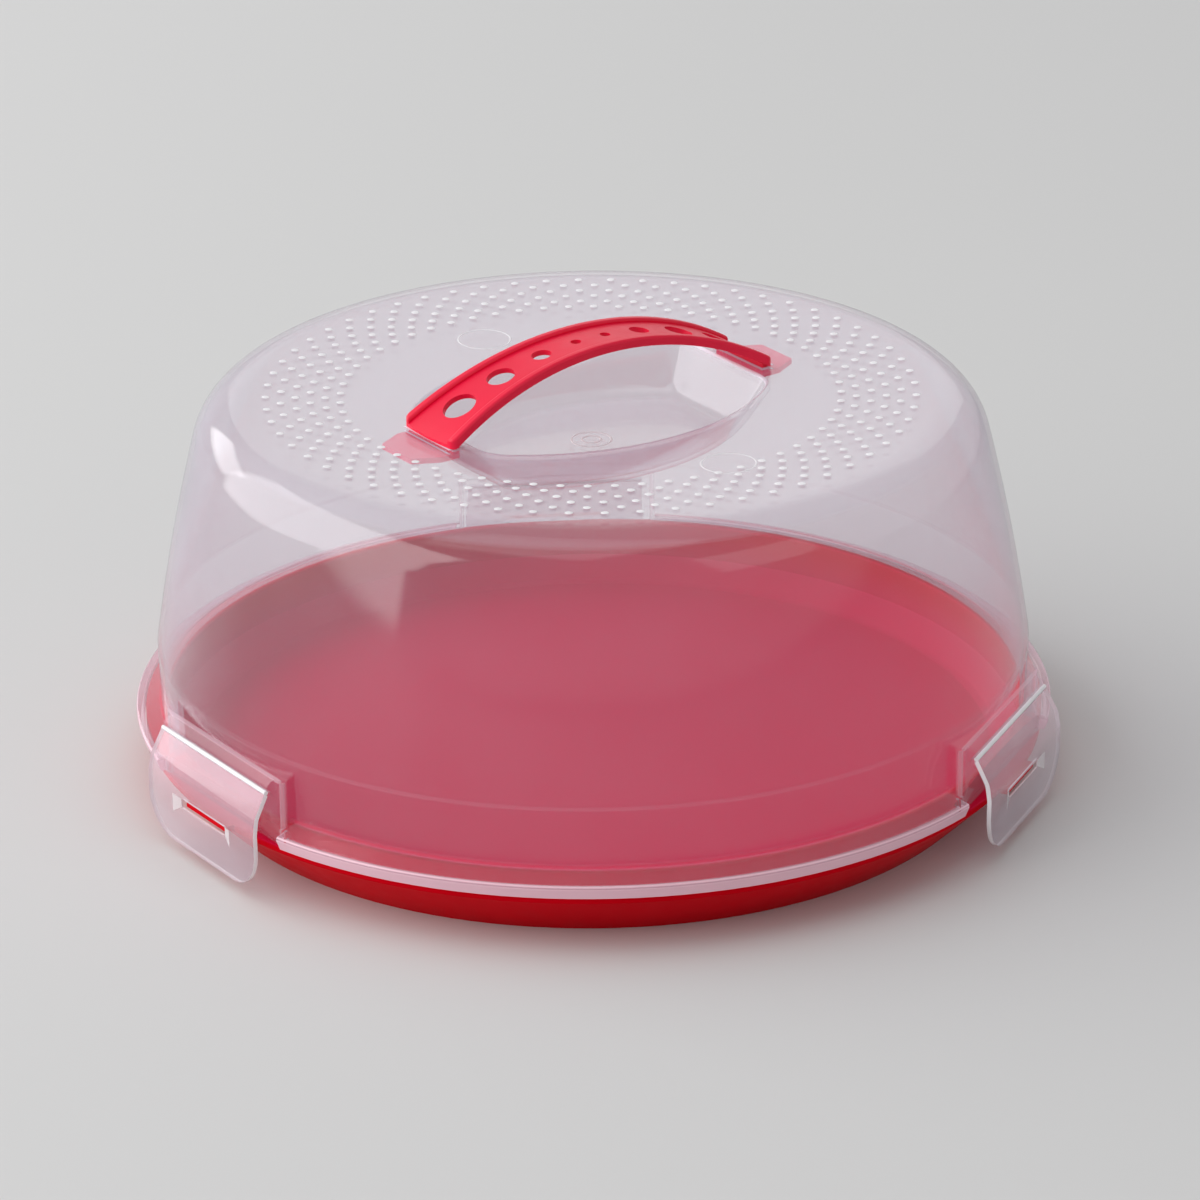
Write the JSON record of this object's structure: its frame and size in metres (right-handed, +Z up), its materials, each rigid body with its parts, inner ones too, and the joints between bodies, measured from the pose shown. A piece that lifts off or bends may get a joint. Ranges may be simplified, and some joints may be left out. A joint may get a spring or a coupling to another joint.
{
  "type": "cake carrier",
  "caption": "Round cake carrier: a shallow tray, a tall translucent lid with a finger well and bridge handle, and hinged latches that hook the tray's rim.",
  "frame": {"origin": "on the vertical axis, at the plane that the tray's foot ring stands on", "axes": "+Z up, +X along the handle, one latch facing -X and the other two at 60 degrees either side of +X"},
  "size_m": [0.3349, 0.3332, 0.1633],
  "materials": {
    "red_plastic": "glossy moulded",
    "clear_plastic": "milky translucent, moulded",
    "red_handle_plastic": "glossy moulded",
    "latch_plastic": "milky translucent, moulded"
  },
  "bodies": {
    "tray": {"tray": "red_plastic"},
    "lid": {"lid": "clear_plastic", "handle": "red_handle_plastic"},
    "left_latch": {"left_latch": "latch_plastic", "left_hinge": "latch_plastic"},
    "right_latch": {"right_latch": "latch_plastic", "right_hinge": "latch_plastic"},
    "rear_latch": {"rear_latch": "latch_plastic", "rear_hinge": "latch_plastic"}
  },
  "joints": [
    {"name": "lid_lift", "type": "slide", "parent": "tray", "child": "lid", "axis": [0, 0, 1], "range_m": [0, 0.18]},
    {"name": "left_latch_hinge", "type": "hinge", "parent": "lid", "child": "left_latch", "pos_m": [-0.162, 0, 0.0412], "axis": [0, 1, 0], "range_deg": [0, 105]},
    {"name": "right_latch_hinge", "type": "hinge", "parent": "lid", "child": "right_latch", "pos_m": [0.081, -0.1403, 0.0412], "axis": [-0.866, -0.5, 0], "range_deg": [0, 105]},
    {"name": "rear_latch_hinge", "type": "hinge", "parent": "lid", "child": "rear_latch", "pos_m": [0.081, 0.1403, 0.0412], "axis": [0.866, -0.5, 0], "range_deg": [0, 105]}
  ]
}
